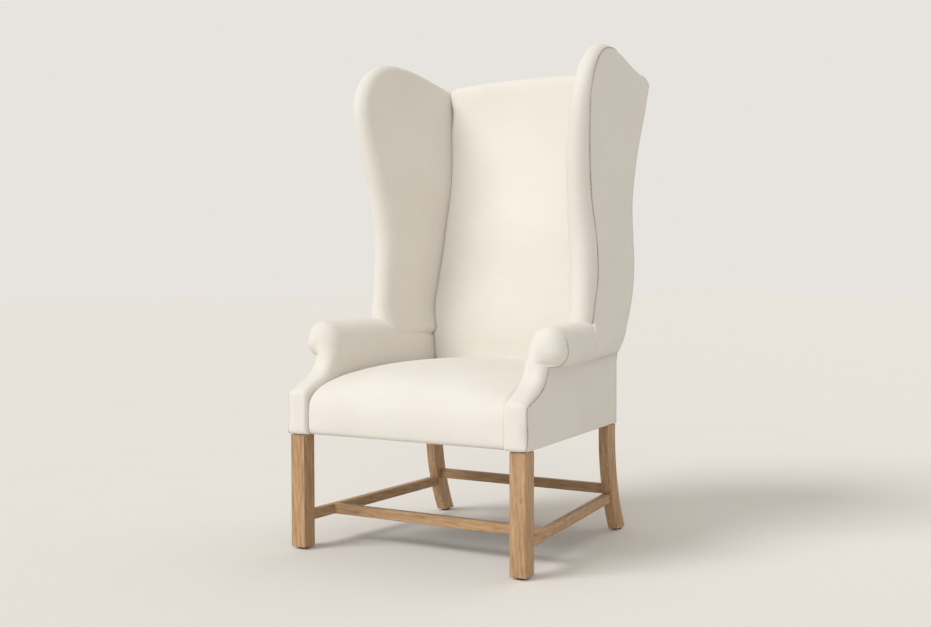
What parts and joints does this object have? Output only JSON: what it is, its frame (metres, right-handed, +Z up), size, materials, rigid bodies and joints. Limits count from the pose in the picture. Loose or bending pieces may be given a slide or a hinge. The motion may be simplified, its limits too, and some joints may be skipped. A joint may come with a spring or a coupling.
{
  "type": "wing armchair",
  "caption": "High-backed wing armchair with low scroll arms, a tight fixed seat in plain ivory linen, and an oak base of square front legs, raked rear legs and stretchers.",
  "frame": {"origin": "on the floor, under the middle of the chair's bounding box", "axes": "+Z up, -Y the way the chair faces, +X to the sitter's left"},
  "size_m": [0.7746, 0.7802, 1.3103],
  "materials": {
    "oak": "satin",
    "hardwood": "matte",
    "glide": "matte",
    "steel": "satin",
    "clip": "matte",
    "hessian": "matte",
    "webbing": "matte",
    "dust_cloth": "matte",
    "foam": "matte",
    "linen": "matte"
  },
  "bodies": {
    "root": {"arm_cover_left": "linen", "arm_cover_right": "linen", "arm_facing_cover_left": "linen", "arm_facing_cover_right": "linen", "arm_facing_foam_left": "foam", "arm_facing_foam_right": "foam", "arm_foam_left": "foam", "arm_foam_right": "foam", "arm_rail_left": "hardwood", "arm_rail_right": "hardwood", "arm_stump_left": "hardwood", "arm_stump_right": "hardwood", "back_foam": "foam", "back_post_left": "hardwood", "back_post_right": "hardwood", "back_seat_rail": "hardwood", "back_webbing": "webbing", "corner_blocks": "hardwood", "corner_screws": "steel", "crest_rail": "hardwood", "cross_stretcher": "oak", "dust_cover": "dust_cloth", "frame_dowels": "hardwood", "front_leg_left": "oak", "front_leg_right": "oak", "front_seat_rail": "hardwood", "glides": "glide", "inside_back_cover": "linen", "lower_back_rail": "hardwood", "outside_arm_panel_left": "linen", "outside_arm_panel_right": "linen", "outside_back_cover": "linen", "outside_wing_panel_left": "linen", "outside_wing_panel_right": "linen", "rear_leg_left": "oak", "rear_leg_right": "oak", "rear_stretcher": "oak", "seat_cover": "linen", "seat_foam": "foam", "seat_hessian": "hessian", "seat_springs": "steel", "side_seat_rail_left": "hardwood", "side_seat_rail_right": "hardwood", "side_stretcher_left": "oak", "side_stretcher_right": "oak", "spring_clips": "clip", "wing_cover_left": "linen", "wing_cover_right": "linen", "wing_foam_left": "foam", "wing_foam_right": "foam", "wing_post_left": "hardwood", "wing_post_right": "hardwood", "wing_top_rail_left": "hardwood", "wing_top_rail_right": "hardwood"}
  },
  "joints": []
}
